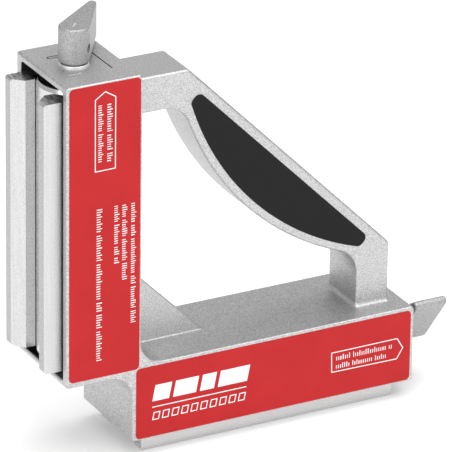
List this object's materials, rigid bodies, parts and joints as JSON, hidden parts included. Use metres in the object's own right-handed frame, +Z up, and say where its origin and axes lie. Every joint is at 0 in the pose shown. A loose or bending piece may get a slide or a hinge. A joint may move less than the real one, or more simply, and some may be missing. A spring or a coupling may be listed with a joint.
{
  "type": "switchable welding magnet holder",
  "caption": "Right-angle welding magnet holder: a cast L-shaped body with a diagonal grip handle, bevelled pole shoes along each arm and a lever at each tip that switches its rotor magnet.",
  "frame": {"origin": "below the middle of the whole object's bounding box, on the plane of the base arm's pole faces", "axes": "+X along the base arm towards its knob, +Y from the labelled front to the plain rear, +Z up along the upright arm towards its knob"},
  "size_m": [0.1572, 0.0382, 0.1571],
  "materials": {
    "casting": "bead-blasted",
    "grip": "matt",
    "label": "satin print",
    "pole_steel": "milled",
    "fastener": "satin",
    "bushing": "turned",
    "rotor_skin": "polished",
    "magnet": "ground",
    "spindle": "turned",
    "knob": "satin"
  },
  "bodies": {
    "frame": {"housing": "casting", "grip_inlay_front": "grip", "grip_inlay_rear": "grip", "label_upright": "label", "label_base": "label", "pole_shoe_upright_front": "pole_steel", "pole_shoe_upright_rear": "pole_steel", "shoe_screws_upright": "fastener", "knob_bushing_upright": "bushing", "tail_bushing_upright": "bushing", "stop_pins_upright": "fastener", "pole_shoe_base_front": "pole_steel", "pole_shoe_base_rear": "pole_steel", "shoe_screws_base": "fastener", "knob_bushing_base": "bushing", "tail_bushing_base": "bushing", "stop_pins_base": "fastener"},
    "upright_rotor": {"rotor_sleeve_upright": "rotor_skin", "rotor_magnet_upright": "magnet", "drive_spindle_upright": "spindle", "tail_cap_upright": "spindle", "switch_knob_upright": "knob", "knob_pin_upright": "fastener"},
    "base_rotor": {"rotor_sleeve_base": "rotor_skin", "rotor_magnet_base": "magnet", "drive_spindle_base": "spindle", "tail_cap_base": "spindle", "switch_knob_base": "knob", "knob_pin_base": "fastener"}
  },
  "joints": [
    {"name": "upright_switch", "type": "hinge", "parent": "frame", "child": "upright_rotor", "pos_m": [-0.05995, 0.00007, 0.087], "axis": [0, 0, 1], "range_deg": [-95, 0]},
    {"name": "base_switch", "type": "hinge", "parent": "frame", "child": "base_rotor", "pos_m": [0.0085, 0.00007, 0.0186], "axis": [1, 0, 0], "range_deg": [-95, 0]}
  ]
}
